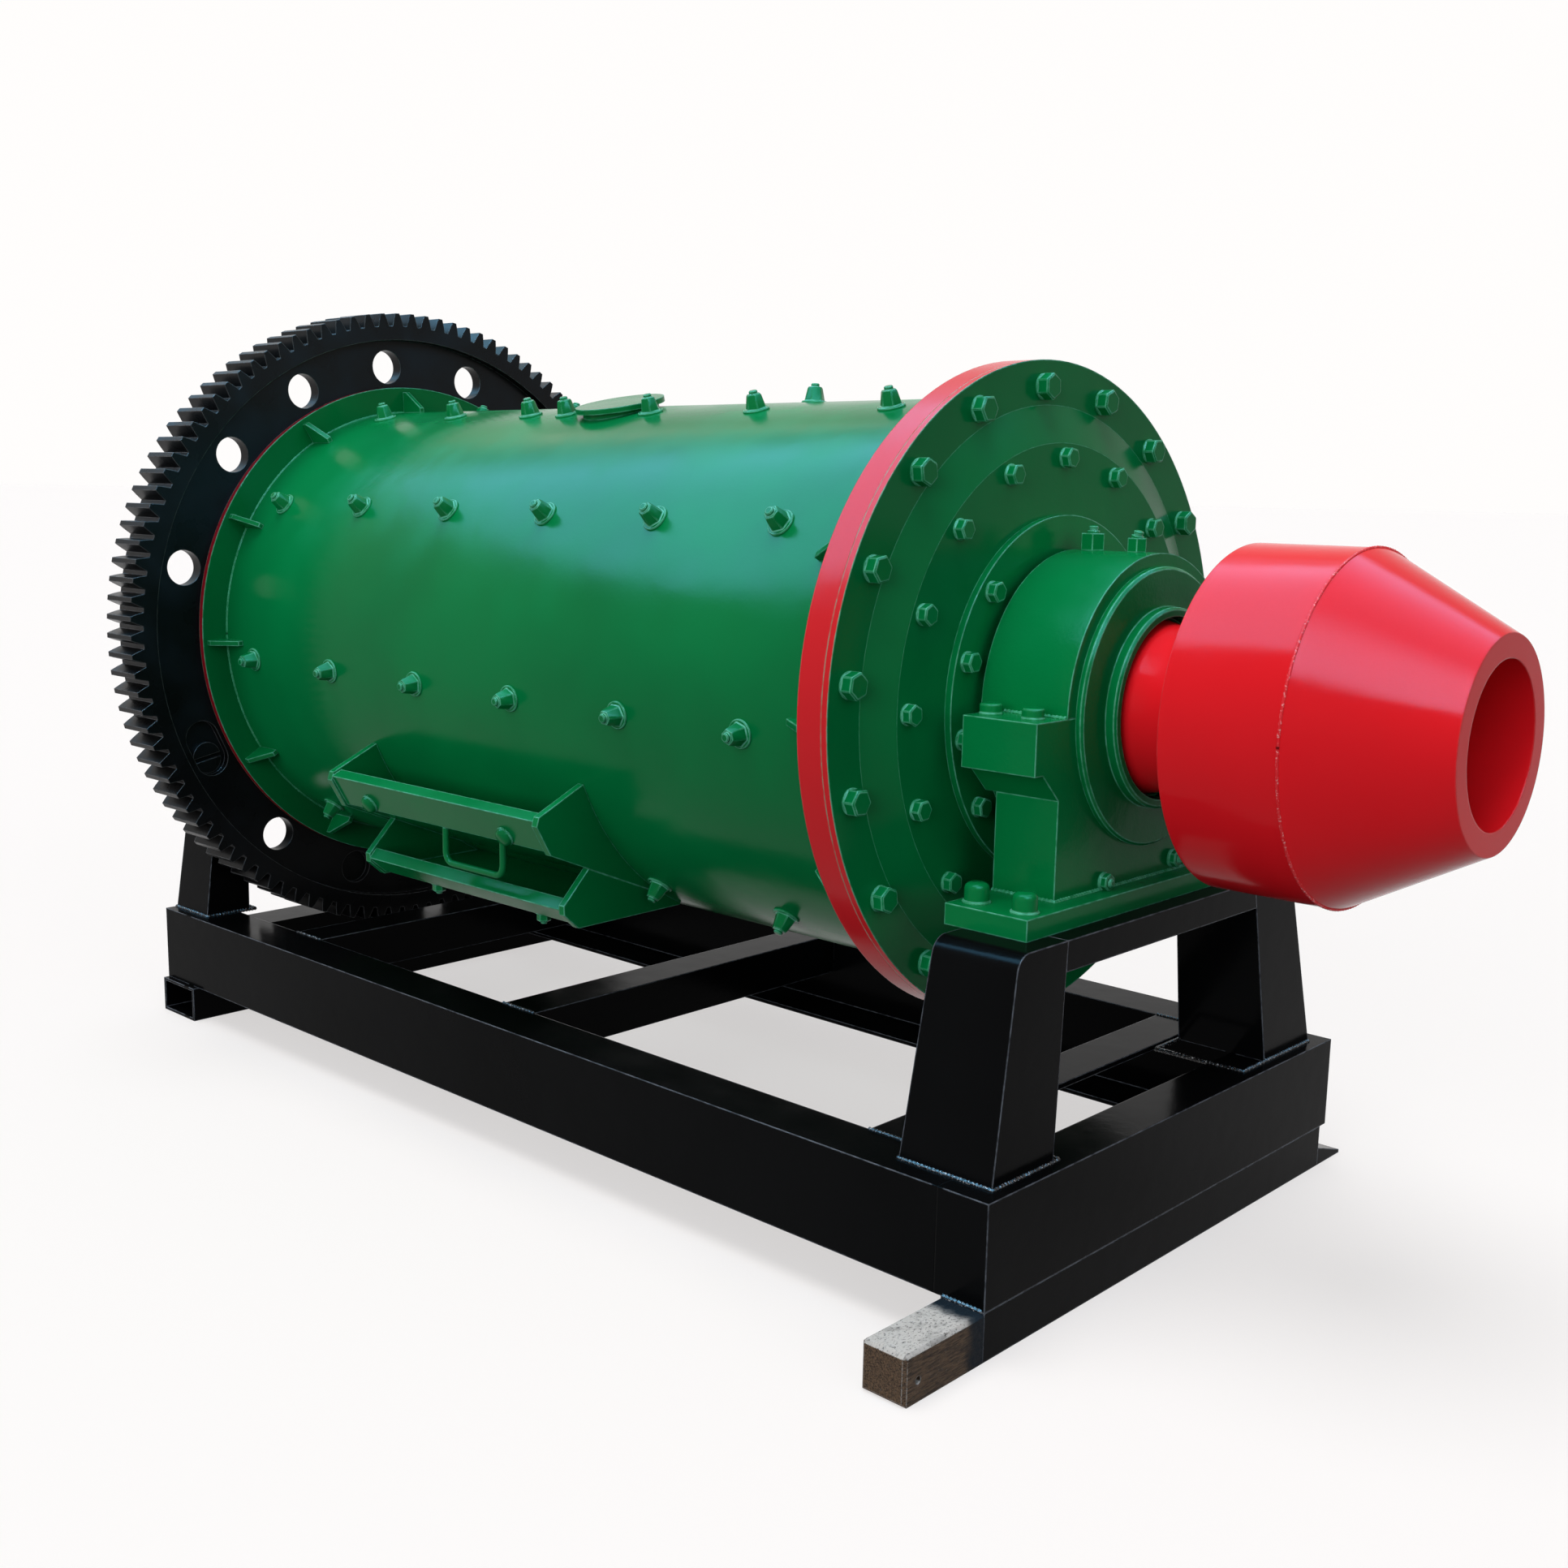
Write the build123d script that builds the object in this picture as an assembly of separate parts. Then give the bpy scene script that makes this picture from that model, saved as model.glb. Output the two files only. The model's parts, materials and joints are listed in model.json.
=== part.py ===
from build123d import *
import os
from math import acos, atan2, cos, hypot, pi, radians, sin, tan

# Horizontal ball mill on a welded base: a barrel with bolted end covers turns
# on two trunnion bearings, driven by a ring gear at its rear end.
# Millimetres. X runs along the barrel towards the feed nozzle, Z is up.
# Stations along X are measured from a point near the middle of the base.
# Sheet angles on the barrel are measured from the near side (-Y) upwards.

# Barrel
barrel_radius = 470.0
barrel_wall = 16.0
barrel_clearance = 155.0
front_flange_front = 810.0
front_flange_width = 45.0
rear_flange_front = -900.0
rear_flange_width = 14.0
flange_height = 55.0
head_thickness = 12.0
bevel_inset = 14.0
bevel_run = 58.0
bevel_rise = 22.0
hub_radius = 287.0
hub_thickness = 12.0
hub_fillet = 12.0
gusset_count = 12
gusset_phase = 2.0
gusset_length = 62.0
gusset_thickness = 10.0
gusset_toe = 10.0

# Base frame
base_half_width = 510.0
beam_top = 230.0
beam_height = 157.0
beam_width = 98.0
beam_flange_reach = 102.0
beam_flange_thickness = 8.0
front_beam_width = 88.0
cross_width = 88.0
cross_height = 84.0
tie_plate_gap = 16.0
tie_plate_thickness = 10.0
middle_cross_x = -12.0
rear_cross_gap = 135.0
rear_beam_width = 100.0
rear_beam_height = 107.0

# Feet under the frame
skid_depth = 75.0
skid_far_setback = 20.0
block_length = 170.0
block_edge = 5.0
block_hole_radius = 5.5
block_hole_depth = 20.0
block_hole_inset = 28.0
block_hole_height = 31.0
tongue_length = 86.0
tongue_root = 32.0
tongue_tip = 6.0
rear_tube_width = 130.0
rear_tube_wall = 6.0
rear_tube_overhang = 12.0

# Bearing stands. Each leg: setback of its foot from the side of the base,
# width of the foot, lean of the head towards the middle, width of the head.
front_stand_depth = 165.0
rear_stand_depth = 131.0
front_stand_reach = 146.0
rear_stand_reach = 60.0
front_beam_lead = 24.0
rear_beam_lead = 3.5
stand_rear_taper = 18.0
front_near_leg = (40.0, 147.0, 42.0, 118.0)
front_far_leg = (41.0, 160.0, 109.0, 126.0)
rear_leg = (25.0, 102.0, 51.0, 64.0)
leg_edge_radius = 28.0
stand_beam_height = 46.0

# Trunnion bearings
bearing_centre_height = 300.0
bearing_width = 154.0
front_bearing_gap = 16.0
rear_bearing_gap = 8.0
cap_radius = 234.0
housing_bore = 180.0
plate_depth = 145.0
front_plate_offset = 39.5
rear_plate_offset = 3.5
plate_half_length = 364.0
plate_thickness = 32.0
waist_depth = 110.0
waist_half_width = 248.0
lug_depth = 130.0
front_lug_offset = 12.0
rear_lug_offset = 0.0
lug_reach = 310.0
lug_flat = 20.0
lug_bottom_drop = 77.0
lug_slope = 41.0
liner_inset = 8.0
seal_radius = 214.0
seal_plate_thickness = 12.0
seal_edge = 4.0
seal_collar_radius = 154.0
seal_collar_length = 30.0
seal_gap = 2.0
large_plug_shift = 46.0
large_plug_radius = 20.0
large_plug_height = 26.0
small_plug_shift = 33.0
small_plug_radius = 16.0
small_plug_height = 21.0

# Trunnions, feed and discharge
journal_radius = 138.0
journal_clearance = 0.3
journal_overrun = 6.0
trunnion_bore_radius = 124.0
feed_bore_radius = 117.0
neck_length = 153.0
neck_root_radius = 134.0
neck_waist_radius = 126.0
neck_flare_radius = 152.0
nozzle_body_length = 178.0
nozzle_cone_length = 192.0
nozzle_radius = 255.0
mouth_radius = 151.0
discharge_length = 73.0
discharge_radius = 130.0
discharge_bore_radius = 112.0
discharge_flange_radius = 168.0
discharge_flange_thickness = 16.0

# Ring gear
gear_module = 12.0
pressure_angle = 20.0
dedendum_factor = 1.25
gear_face_width = 100.0
gear_rim_lead = 7.0
gear_rim_thickness = 30.0
gear_web_band = 102.0
gear_web_thickness = 28.0
gear_web_clearance = 2.0
gear_split_angle = -5.5
gear_hole_radius = 36.0
gear_hole_offset = 45.0
gear_hole_pitch = 22.2
gear_end_hole_angle = 70.6
gear_slot_length = 122.0
gear_pocket_depth = 14.0

# Loading hatch on the near side of the barrel
hatch_left = -430.0
hatch_right = 196.0
lower_tray_left = -395.0
hatch_end_wall = 14.0
hatch_wall = 8.0
hatch_rim = 5.0
hatch_corner = 12.0
hatch_lip_width = 24.0
upper_mouth_angle = -23.2
upper_lip_height = 113.0
upper_lip_angle = -23.6
upper_fold_height = 110.0
upper_fold_angle = -30.1
upper_heel_angle = -56.0
lower_mouth_setback = 95.0
lower_lip_height = 150.0
lower_lip_angle = -39.5
lower_fold_height = 144.0
lower_fold_angle = -43.8
lower_heel_angle = -64.0
handle_setback = 10.0
handle_rod_radius = 6.0
handle_left = -115.0
handle_right = 50.0
handle_drop = 62.0
handle_bend = 20.0

# Manhole on top of the barrel
manhole_x = -80.0
manhole_angle = 103.0
manhole_radius = 84.0
manhole_neck_radius = 72.0
manhole_neck_height = 6.0
manhole_cover_thickness = 10.0

# Heights that follow from the sizes above
foot_height = beam_top - beam_height
axis_height = beam_top + barrel_clearance + barrel_radius
stand_top = axis_height - bearing_centre_height

# Radii round the barrel
flange_radius = barrel_radius + flange_height
bevel_outer_radius = barrel_radius - bevel_inset
bevel_inner_radius = bevel_outer_radius - bevel_run
gear_rim_inner = flange_radius + gear_web_band
gear_teeth = round(2 * (gear_rim_inner + gear_rim_thickness) / gear_module + 2 * dedendum_factor)
gear_pitch_radius = gear_module * gear_teeth / 2
gear_hole_circle = flange_radius + gear_hole_offset

# Stations along X, from the barrel outwards
gear_web_front = rear_flange_front - rear_flange_width
gear_web_rear = gear_web_front - gear_web_thickness
gear_rim_front = rear_flange_front + gear_rim_lead
gear_rim_rear = gear_rim_front - gear_face_width
front_head_face = front_flange_front + head_thickness + bevel_rise
rear_head_face = gear_web_rear - head_thickness - bevel_rise
front_hub_face = front_head_face + hub_thickness
rear_hub_face = rear_head_face - hub_thickness
front_bearing_x = front_hub_face + front_bearing_gap + bearing_width / 2
rear_bearing_x = rear_hub_face - rear_bearing_gap - bearing_width / 2
journal_end_front = front_bearing_x + bearing_width / 2 + journal_overrun
journal_end_rear = rear_bearing_x - bearing_width / 2 - journal_overrun
nozzle_rear = journal_end_front + neck_length
nozzle_shoulder = nozzle_rear + nozzle_body_length
nozzle_mouth = nozzle_shoulder + nozzle_cone_length
discharge_end = journal_end_rear - discharge_length
middle_x = (nozzle_mouth + discharge_end) / 2
front_stand_outer = front_bearing_x + front_stand_reach
rear_stand_outer = rear_bearing_x - rear_stand_reach
base_front = front_stand_outer + front_beam_lead
base_rear = rear_stand_outer - rear_beam_lead
tie_plate_x = front_stand_outer - front_stand_depth - tie_plate_gap - cross_width / 2
rear_cross_x = gear_rim_front + rear_cross_gap + cross_width / 2


def save(name, shape):
    """Write one named piece, with the middle of the whole mill at X = 0."""
    export_step(Pos(-middle_x, 0, 0) * shape, f"parts/{name}.step")


def block(x0, x1, y0, y1, z0, z1):
    """Rectangular block between two corners."""
    centre = Pos((x0 + x1) / 2, (y0 + y1) / 2, (z0 + z1) / 2)
    return centre * Box(x1 - x0, y1 - y0, z1 - z0)


def turned(*outline):
    """Solid turned about the barrel axis from an outline of (x, radius)."""
    profile = make_face(Polyline(*outline, close=True))
    return Pos(0, 0, axis_height) * revolve(profile, Axis.X)


def ring(x0, x1, inner, outer):
    """Plain ring about the barrel axis."""
    return turned((x0, inner), (x1, inner), (x1, outer), (x0, outer))


def on_barrel(radius, angle):
    """Point (y, z) at a radius and an angle round the barrel axis."""
    a = radians(angle)
    return (-radius * cos(a), axis_height + radius * sin(a))


def sheet_along_x(outline, x0, x1):
    """Prism along X over an outline of (y, z) points."""
    face = make_face(Plane.YZ.offset(x0) * Polyline(*outline, close=True))
    return extrude(face, x1 - x0, dir=(1, 0, 0))


# Base frame
def make_frame():
    inner = base_half_width - beam_width
    beam_front = base_front - front_beam_width
    for side, name in ((-1, "near_beam"), (1, "far_beam")):
        y0, y1 = sorted((side * inner, side * base_half_width))
        beam = block(base_rear, beam_front, y0, y1, foot_height, beam_top)
        y0, y1 = sorted((side * inner, side * (inner - beam_flange_reach)))
        beam += block(base_rear + rear_beam_width, beam_front, y0, y1,
                      foot_height, foot_height + beam_flange_thickness)
        save(name, beam)
    save("front_beam", block(beam_front, base_front, -base_half_width, base_half_width,
                             foot_height, beam_top))
    save("rear_beam", block(base_rear, base_rear + rear_beam_width, -inner, inner,
                            foot_height, foot_height + rear_beam_height))
    crosses = (("front_cross_member", tie_plate_x, tie_plate_thickness),
               ("middle_cross_member", middle_cross_x, cross_height),
               ("rear_cross_member", rear_cross_x, cross_height))
    for name, x, height in crosses:
        save(name, block(x - cross_width / 2, x + cross_width / 2, -inner, inner,
                         beam_top - height, beam_top))


def make_feet():
    skid_rear = base_front - skid_depth
    skid_far_end = base_half_width - skid_far_setback
    save("front_skid", block(skid_rear, base_front, -base_half_width, skid_far_end, 0, foot_height))
    bar = block(skid_rear, base_front, -base_half_width - block_length, -base_half_width,
                0, foot_height)
    outer = bar.faces().sort_by(Axis.Y)[0]
    long_edges = bar.edges().filter_by(Axis.Y).group_by(Axis.Z)[-1]
    hole = Pos(base_front, block_hole_inset - base_half_width - block_length, block_hole_height) \
        * Rot(0, 90, 0) * Cylinder(block_hole_radius, 2 * block_hole_depth)
    save("front_skid_block", chamfer(outer.edges() + long_edges, block_edge) - hole)
    tongue = ((skid_far_end, 0), (skid_far_end + tongue_length, 0),
              (skid_far_end + tongue_length, tongue_tip), (skid_far_end, tongue_root))
    save("front_skid_tongue", sheet_along_x(tongue, skid_rear, base_front))
    tube_end = base_half_width + rear_tube_overhang
    tube = block(base_rear, base_rear + rear_tube_width, -tube_end, tube_end, 0, foot_height)
    hollow = block(base_rear + rear_tube_wall, base_rear + rear_tube_width - rear_tube_wall,
                   -tube_end, tube_end, rear_tube_wall, foot_height - rear_tube_wall)
    save("rear_foot_tube", tube - hollow)


# Bearing stands
def leg_edges(leg, z):
    """Distances of a leg's outer and inner faces from the middle of the base, at a height."""
    setback, foot_width, lean, head_width = leg
    share = (z - beam_top) / (stand_top - beam_top)
    outer = base_half_width - setback - share * lean
    width = foot_width + share * (head_width - foot_width)
    return outer, outer - width


def make_leg(name, leg, side, outer_x, inward, depth):
    """Tapered leg; side is -1 for the near one, inward is the way along X to the barrel."""
    sections = []
    for z, taper in ((beam_top, 0), (stand_top, stand_rear_taper)):
        outer, inner = leg_edges(leg, z)
        far_x = outer_x + inward * (depth - taper)
        points = ((outer_x, inner), (far_x, inner), (far_x, outer), (outer_x, outer))
        sections.append(make_face(Plane.XY.offset(z) * Polyline(*points, close=True)))
    solid = loft(sections)
    top_outer_edge = solid.faces().sort_by(Axis.Z)[-1].edges().sort_by(Axis.Y)[-1]
    solid = fillet(top_outer_edge, leg_edge_radius)
    save(name, solid if side > 0 else mirror(solid, Plane.XZ))


def make_stand(name, outer_x, inward, depth, near_leg, far_leg):
    """Portal of two tapered legs, with a top beam between their slanted inner faces."""
    make_leg(f"{name}_stand_near_leg", near_leg, -1, outer_x, inward, depth)
    make_leg(f"{name}_stand_far_leg", far_leg, 1, outer_x, inward, depth)
    x0, x1 = sorted((outer_x, outer_x + inward * (depth - stand_rear_taper)))
    bottom = stand_top - stand_beam_height
    outline = [(side * leg_edges(leg, z)[1], z) for side, leg, z in (
        (-1, near_leg, bottom), (1, far_leg, bottom), (1, far_leg, stand_top), (-1, near_leg, stand_top))]
    save(f"{name}_stand_top", sheet_along_x(outline, x0, x1))


# Trunnion bearings
def make_bearing(name, x, outward, plate_offset, lug_offset):
    """Split housing on its plate; outward is the way along X away from the barrel."""
    plate_top = stand_top + plate_thickness
    lug_bottom = axis_height - lug_bottom_drop
    half = bearing_width / 2
    plate_x = x + outward * plate_offset
    plate = block(plate_x - plate_depth / 2, plate_x + plate_depth / 2,
                  -plate_half_length, plate_half_length, stand_top, plate_top)
    body = ring(x - half, x + half, housing_bore, cap_radius)
    lower_half = block(x - half, x + half, -cap_radius, cap_radius, plate_top, axis_height)
    lug_x = x + outward * lug_offset
    lug_face = lug_x + outward * lug_depth / 2
    waist_x0, waist_x1 = sorted((lug_face, lug_face - outward * waist_depth))
    waist = block(waist_x0, waist_x1, -waist_half_width, waist_half_width, plate_top, lug_bottom)
    right_half = ((waist_half_width, lug_bottom - lug_slope), (lug_reach - lug_flat, lug_bottom),
                  (lug_reach, lug_bottom), (lug_reach, axis_height))
    left_half = tuple((-y, z) for y, z in reversed(right_half))
    lugs = sheet_along_x(left_half + right_half, lug_x - lug_depth / 2, lug_x + lug_depth / 2)
    bore = turned((x - half, 0), (x + half, 0), (x + half, housing_bore), (x - half, housing_bore))
    housing = plate + (body & lower_half) + waist + lugs - bore
    save(f"{name}_bearing_housing", housing)
    upper_half = block(x - half, x + half, -cap_radius, cap_radius,
                       axis_height, axis_height + cap_radius)
    save(f"{name}_bearing_cap", body & upper_half)
    liner = ring(x - half + liner_inset, x + half - liner_inset,
                 journal_radius + journal_clearance, housing_bore)
    save(f"{name}_bearing_liner", liner)
    face = x + outward * half
    seal_bore = journal_radius + seal_gap
    plate_face = face + outward * seal_plate_thickness
    collar_face = face + outward * seal_collar_length
    save(f"{name}_bearing_seal", turned(
        (face, seal_bore), (collar_face, seal_bore), (collar_face, seal_collar_radius - seal_edge),
        (collar_face - outward * seal_edge, seal_collar_radius), (plate_face, seal_collar_radius),
        (plate_face, seal_radius - seal_edge), (plate_face - outward * seal_edge, seal_radius),
        (face, seal_radius)))
    plugs = [Pos(x + shift, 0, axis_height + housing_bore)
             * extrude(RegularPolygon(radius, 6), height + cap_radius - housing_bore)
             for shift, radius, height in (
                 (-outward * large_plug_shift, large_plug_radius, large_plug_height),
                 (outward * small_plug_shift, small_plug_radius, small_plug_height))]
    save(f"{name}_bearing_grease_plugs", Compound(plugs) - body)


# Barrel
def make_shell():
    save("barrel_shell", ring(rear_flange_front - rear_flange_width, front_flange_front,
                              barrel_radius - barrel_wall, barrel_radius))
    save("front_shell_flange", ring(front_flange_front - front_flange_width, front_flange_front,
                                    barrel_radius, flange_radius))
    save("rear_shell_flange", ring(rear_flange_front - rear_flange_width, rear_flange_front,
                                   barrel_radius, flange_radius))


def make_gussets(name, flange_x, inward):
    """Triangular stiffeners between a flange and the barrel."""
    foot = barrel_radius
    outline = ((flange_x, foot), (flange_x + inward * gusset_length, foot),
               (flange_x + inward * gusset_length, foot + gusset_toe),
               (flange_x + inward * gusset_toe, flange_radius - gusset_toe),
               (flange_x, flange_radius - gusset_toe))
    face = make_face(Plane.XZ * Polyline(*outline, close=True))
    plate = extrude(face, gusset_thickness / 2, both=True)
    plate -= Rot(0, 90, 0) * Cylinder(barrel_radius, 4 * abs(flange_x))
    turn = 360 / gusset_count
    plates = [Pos(0, 0, axis_height) * Rot(gusset_phase + 90 + i * turn, 0, 0) * plate
              for i in range(gusset_count)]
    save(name, Compound(plates))


def make_head(name, seat, face, outward):
    """Bevelled end cover, bolted to a flange at its rim."""
    rim = seat + outward * head_thickness
    inside = face - outward * head_thickness
    save(name, turned((seat, flange_radius), (rim, flange_radius), (rim, bevel_outer_radius),
                      (face, bevel_inner_radius), (face, journal_radius), (inside, journal_radius),
                      (inside, bevel_inner_radius), (seat, bevel_outer_radius)))


def make_trunnion(name, face, hub_face, end, outward):
    """Hollow journal with its bolted flange and a spigot in the end cover."""
    inside = face - outward * head_thickness
    bore = trunnion_bore_radius
    profile = make_face(Polyline(
        (inside, bore), (inside, journal_radius), (face, journal_radius), (face, hub_radius),
        (hub_face, hub_radius), (hub_face, journal_radius), (end, journal_radius), (end, bore),
        close=True))
    corner = profile.vertices().sort_by_distance((hub_face, journal_radius, 0))[0]
    profile = fillet(corner, hub_fillet)
    save(name, Pos(0, 0, axis_height) * revolve(profile, Axis.X))


# Feed and discharge
def make_feed():
    """Waisted hollow neck out of the front trunnion, with the conical feed nozzle on it."""
    waist = ThreePointArc((journal_end_front, neck_root_radius),
                          ((journal_end_front + nozzle_rear) / 2, neck_waist_radius),
                          (nozzle_rear, neck_flare_radius))
    bore = Polyline((nozzle_rear, neck_flare_radius), (nozzle_rear, feed_bore_radius),
                    (journal_end_front, feed_bore_radius), (journal_end_front, neck_root_radius))
    save("feed_neck", Pos(0, 0, axis_height) * revolve(make_face([waist, bore]), Axis.X))
    save("feed_nozzle", turned(
        (nozzle_rear, feed_bore_radius), (nozzle_rear, nozzle_radius),
        (nozzle_shoulder, nozzle_radius), (nozzle_mouth, mouth_radius),
        (nozzle_mouth, feed_bore_radius)))


def make_discharge():
    """Short spout with a plain flange on the rear trunnion."""
    flange_face = discharge_end + discharge_flange_thickness
    bore = discharge_bore_radius
    save("discharge_neck", turned(
        (journal_end_rear, bore), (journal_end_rear, discharge_radius),
        (flange_face, discharge_radius), (flange_face, discharge_flange_radius),
        (discharge_end, discharge_flange_radius), (discharge_end, bore)))


# Ring gear
def flank_point(radius, tooth_angle, side):
    """Point on an involute flank at a radius, for a tooth centred on an angle."""
    base = gear_pitch_radius * cos(radians(pressure_angle))
    def involute(alpha):
        return tan(alpha) - alpha
    half = pi / (2 * gear_teeth) + involute(radians(pressure_angle)) - involute(acos(base / radius))
    angle = tooth_angle + side * half
    return (radius * cos(angle), radius * sin(angle))


def make_gear():
    """Toothed rim, one closed outline of involute flanks."""
    root = gear_pitch_radius - dedendum_factor * gear_module
    tip = gear_pitch_radius + gear_module
    edges = []
    for tooth in range(gear_teeth):
        centre = 2 * pi * tooth / gear_teeth
        after = 2 * pi * (tooth + 1) / gear_teeth
        up = [flank_point(r, centre, -1) for r in (root, gear_pitch_radius, tip)]
        down = [flank_point(r, centre, 1) for r in (tip, gear_pitch_radius, root)]
        edges += [ThreePointArc(*up), Line(up[-1], down[0]), ThreePointArc(*down),
                  Line(down[-1], flank_point(root, after, -1))]
    toothed = Face(Wire(edges)) - Circle(gear_rim_inner)
    rim = extrude(Plane.YZ.offset(gear_rim_rear) * toothed, gear_face_width, dir=(1, 0, 0))
    save("ring_gear", Pos(0, 0, axis_height) * rim)


def make_gear_web():
    """Web in two halves' pattern: seven holes in each half, the last of the lower half a slot.
    The slot and one hole of the lower half do not go through."""
    web = Circle(gear_rim_inner) - Circle(barrel_radius + gear_web_clearance)
    pockets = []
    steps = [i * gear_hole_pitch for i in range(-2, 3)]
    steps += [-gear_end_hole_angle, gear_end_hole_angle]
    upper_centre = gear_split_angle + 90
    lower_centre = gear_split_angle - 90
    slot_angle = lower_centre + gear_end_hole_angle
    for angle in [centre + step for centre in (upper_centre, lower_centre) for step in steps]:
        hole = Circle(gear_hole_radius)
        if angle == slot_angle:
            hole = Rot(0, 0, 90) * SlotOverall(gear_slot_length, 2 * gear_hole_radius)
        hole = Rot(0, 0, 180 - angle) * Pos(gear_hole_circle, 0, 0) * hole
        if angle in (slot_angle, lower_centre + gear_hole_pitch):
            pockets.append(hole)
        else:
            web -= hole
    web = extrude(Plane.YZ.offset(gear_web_rear) * web, gear_web_thickness, dir=(1, 0, 0))
    for pocket in pockets:
        web -= extrude(Plane.YZ.offset(gear_web_front) * pocket, gear_pocket_depth, dir=(-1, 0, 0))
    save("ring_gear_web", Pos(0, 0, axis_height) * web)


# Loading hatch
def between(a, b, distance):
    """Point at a distance from a towards b."""
    share = distance / hypot(b[0] - a[0], b[1] - a[1])
    return (a[0] + (b[0] - a[0]) * share, a[1] + (b[1] - a[1]) * share)


def offset_path(path, distance):
    """Open path moved to its right by a distance, with mitred corners."""
    moved = []
    last = len(path) - 1
    for i, point in enumerate(path):
        before = path[max(i - 1, 0)]
        after = path[min(i + 1, last)]
        first = atan2(point[1] - before[1], point[0] - before[0]) if i else None
        second = atan2(after[1] - point[1], after[0] - point[0]) if i < last else first
        first = second if first is None else first
        middle = (first + second) / 2
        reach = distance / cos((second - first) / 2)
        moved.append((point[0] + reach * sin(middle), point[1] - reach * cos(middle)))
    return tuple(moved)


def make_tray(name, left, mouth, lip, fold, heel, inner_points, behind):
    """Open tray: one bent sheet from its lip round to the barrel, between two end walls
    that stand proud of it; the solids behind the tray are cut out of it."""
    rim_heel, rim_fold, rim_lip, rim_mouth = offset_path((heel, fold, lip, mouth), -hatch_rim)
    ends = (between(rim_mouth, rim_lip, -hatch_rim), between(rim_lip, rim_mouth, hatch_corner),
            between(rim_lip, rim_fold, hatch_corner), rim_fold, rim_heel) + inner_points
    outer = (heel, fold, lip, between(lip, mouth, hatch_lip_width))
    sheet = outer + tuple(reversed(offset_path(outer, hatch_wall)))
    tray = sheet_along_x(sheet, left + hatch_end_wall, hatch_right - hatch_end_wall)
    tray += sheet_along_x(ends, left, left + hatch_end_wall)
    tray += sheet_along_x(ends, hatch_right - hatch_end_wall, hatch_right)
    for solid in behind:
        tray -= solid
    save(name, tray)
    return tray


def make_hatch():
    """Two trays, one above the other, and the pull handle under the upper lip."""
    barrel = ring(hatch_left, hatch_right, 0, barrel_radius)
    within = barrel_radius - barrel_wall
    mouth = on_barrel(barrel_radius, upper_mouth_angle)
    lip = on_barrel(barrel_radius + upper_lip_height, upper_lip_angle)
    fold = on_barrel(barrel_radius + upper_fold_height, upper_fold_angle)
    heel = on_barrel(barrel_radius, upper_heel_angle)
    inner = (on_barrel(within, upper_heel_angle), on_barrel(within, upper_mouth_angle))
    upper = make_tray("hatch_upper_tray", hatch_left, mouth, lip, fold, heel, inner, (barrel,))

    lower_mouth = between(fold, heel, lower_mouth_setback)
    lower_lip = on_barrel(barrel_radius + lower_lip_height, lower_lip_angle)
    lower_fold = on_barrel(barrel_radius + lower_fold_height, lower_fold_angle)
    lower_heel = on_barrel(barrel_radius, lower_heel_angle)
    inner = (on_barrel(within, lower_heel_angle), heel)
    make_tray("hatch_lower_tray", lower_tray_left, lower_mouth, lower_lip, lower_fold, lower_heel,
              inner, (barrel, upper))

    y, z = between(fold, heel, handle_setback)
    top, bottom = z + hatch_wall / 2, z - handle_drop
    path = FilletPolyline((handle_left, y, top), (handle_left, y, bottom), (handle_right, y, bottom),
                          (handle_right, y, top), radius=handle_bend)
    rod = sweep(Plane((handle_left, y, top), z_dir=(0, 0, -1)) * Circle(handle_rod_radius), path=path)
    save("hatch_handle", rod - upper)


def make_manhole():
    """Round cover bolted on a short neck near the top of the barrel."""
    place = Pos(manhole_x, 0, axis_height) * Rot(manhole_angle - 90, 0, 0)
    seat = barrel_radius + manhole_neck_height
    neck = place * Pos(0, 0, seat / 2) * Cylinder(manhole_neck_radius, seat)
    barrel = ring(manhole_x - manhole_radius, manhole_x + manhole_radius, 0, barrel_radius)
    save("manhole_neck", neck - barrel)
    cover = Pos(0, 0, seat + manhole_cover_thickness / 2) * Cylinder(manhole_radius, manhole_cover_thickness)
    save("manhole_cover", place * cover)


if __name__ == "__main__":
    os.makedirs("parts", exist_ok=True)
    make_frame()
    make_feet()
    make_stand("front", front_stand_outer, -1, front_stand_depth, front_near_leg, front_far_leg)
    make_bearing("front", front_bearing_x, 1, front_plate_offset, front_lug_offset)
    make_shell()
    make_gussets("front_gussets", front_flange_front - front_flange_width, -1)
    make_gussets("rear_gussets", rear_flange_front, 1)
    make_head("front_head", front_flange_front, front_head_face, 1)
    make_head("rear_head", gear_web_rear, rear_head_face, -1)
    make_trunnion("front_trunnion", front_head_face, front_hub_face, journal_end_front, 1)
    make_trunnion("rear_trunnion", rear_head_face, rear_hub_face, journal_end_rear, -1)
    make_feed()
    make_discharge()
    make_gear()
    make_gear_web()
    make_hatch()
    make_manhole()
    make_stand("rear", rear_stand_outer, 1, rear_stand_depth, rear_leg, rear_leg)
    make_bearing("rear", rear_bearing_x, -1, rear_plate_offset, rear_lug_offset)
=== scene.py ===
"""Dresses the ball mill: enamel finishes, fasteners, weld beads, studio and camera."""
from __future__ import annotations

import json
import logging
import random
from dataclasses import dataclass, replace
from enum import Enum
from math import cos, pi, radians, sin

import bmesh
import bpy
from mathutils import Matrix, Vector


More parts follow.
